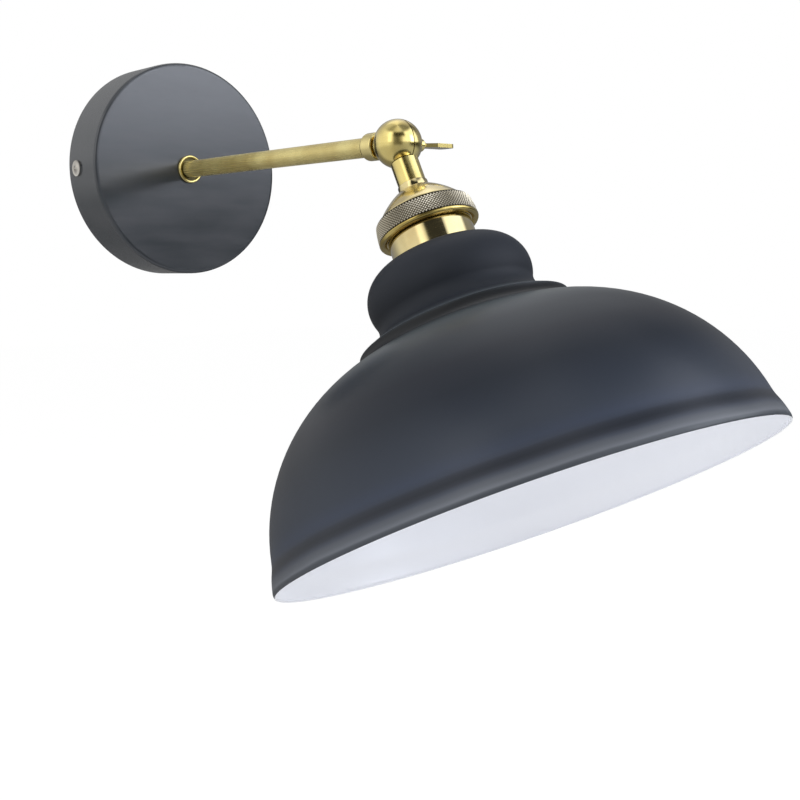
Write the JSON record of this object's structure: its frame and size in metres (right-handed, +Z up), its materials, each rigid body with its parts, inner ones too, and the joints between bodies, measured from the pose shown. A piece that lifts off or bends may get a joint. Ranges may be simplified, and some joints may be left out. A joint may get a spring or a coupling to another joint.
{
  "type": "wall light",
  "caption": "Wall light with a round plate, a straight arm, a split ball knuckle and a domed metal shade on a screw lampholder.",
  "frame": {"origin": "centre of the back of the wall plate, on the wall, midway between the two fixing slots", "axes": "+Y into the wall, along the arm; +X to the right seen from the room, along the knuckle's pivot; +Z up"},
  "size_m": [0.2324, 0.3967, 0.2765],
  "materials": {
    "plate_coat": "satin powder coat with a fine grain",
    "shade_coat": "satin powder coat outside, gloss white enamel inside",
    "zinc_plate": "bright zinc plate",
    "nickel": "polished nickel",
    "block_plastic": "moulded white plastic",
    "screw_brass": "plain turned brass",
    "bush_brass": "polished antique brass",
    "arm_brass": "brushed antique brass",
    "polished_brass": "polished antique brass",
    "ring_brass": "darkened brass, diamond knurled",
    "washer_fibre": "red-brown vulcanised fibre",
    "insert_ceramic": "glazed white ceramic",
    "shell_brass": "bare rolled brass"
  },
  "bodies": {
    "wall_fitting": {"wall_plate": "plate_coat", "mounting_bracket": "zinc_plate", "side_screw_left": "nickel", "side_screw_right": "nickel", "terminal_block": "block_plastic", "terminal_screw_1": "screw_brass", "terminal_screw_2": "screw_brass", "terminal_screw_3": "screw_brass", "terminal_screw_4": "screw_brass", "earth_screw": "screw_brass", "plate_bush": "bush_brass", "bush_washer": "zinc_plate", "bush_nut": "zinc_plate", "arm_tube": "arm_brass", "arm_collar": "polished_brass", "knuckle_arm_half": "polished_brass", "friction_washer": "washer_fibre"},
    "lamp_head": {"knuckle_stem_half": "polished_brass", "stem_nipple": "zinc_plate", "neck_bead": "polished_brass", "lampholder_cap": "polished_brass", "cap_nut": "zinc_plate", "knurled_ring": "ring_brass", "lampholder_body": "polished_brass", "lamp_insert": "insert_ceramic", "screw_shell": "shell_brass", "centre_contact": "shell_brass", "contact_screw_1": "screw_brass", "contact_screw_2": "screw_brass", "shade": "shade_coat", "shade_ring": "ring_brass"},
    "thumbscrew": {"thumbscrew": "polished_brass"}
  },
  "joints": [
    {"name": "knuckle_tilt", "type": "hinge", "parent": "wall_fitting", "child": "lamp_head", "pos_m": [0, -0.211, 0], "axis": [-1, 0, 0], "range_deg": [-54, 63.6]},
    {"name": "thumbscrew_turn", "type": "hinge", "parent": "wall_fitting", "child": "thumbscrew", "pos_m": [0, -0.211, 0], "axis": [1, 0, 0], "range_deg": [0, 360]}
  ]
}
